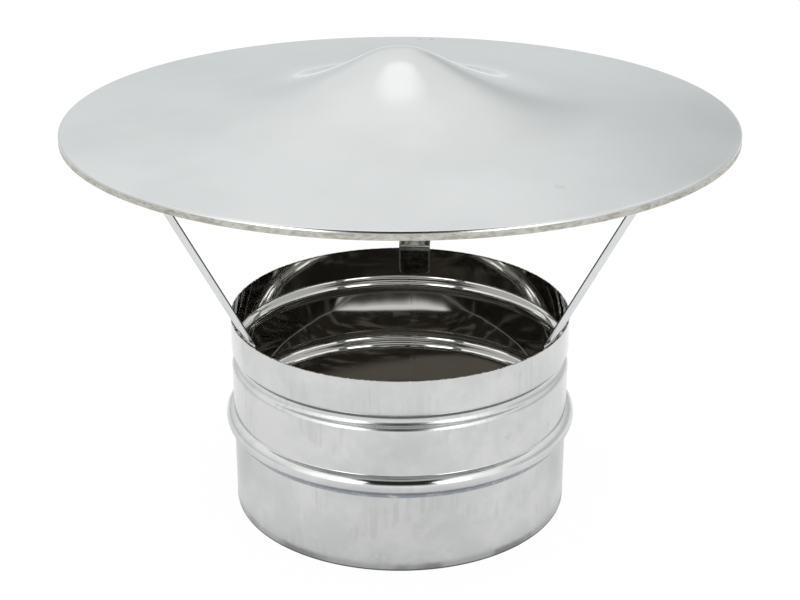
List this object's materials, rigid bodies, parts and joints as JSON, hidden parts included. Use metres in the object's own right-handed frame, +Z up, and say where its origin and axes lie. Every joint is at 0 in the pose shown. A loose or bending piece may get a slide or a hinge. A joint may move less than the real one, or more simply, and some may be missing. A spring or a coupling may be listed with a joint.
{
  "type": "chimney cap",
  "caption": "Round stainless chimney cap: a shallow spun rain hat with a rounded nose, held by bent flat straps over a beaded pipe collar.",
  "frame": {"origin": "centre of the collar's lower edge, on the collar's axis, in the plane that the cap stands on", "axes": "+Z up along the collar's and the hat's axis, +Y towards the back strap's side, +X to the right seen from the front"},
  "size_m": [0.2834, 0.2834, 0.206],
  "materials": {
    "hat_steel": "satin bright sheet, spun, with a rougher rolled rim",
    "collar_steel": "bright annealed sheet with faint upright rolling marks, raw cut edges",
    "strap_steel": "satin strip with sheared edges"
  },
  "bodies": {
    "root": {"hat": "hat_steel", "collar": "collar_steel", "strap_back": "strap_steel", "strap_left": "strap_steel", "strap_right": "strap_steel"}
  },
  "joints": []
}
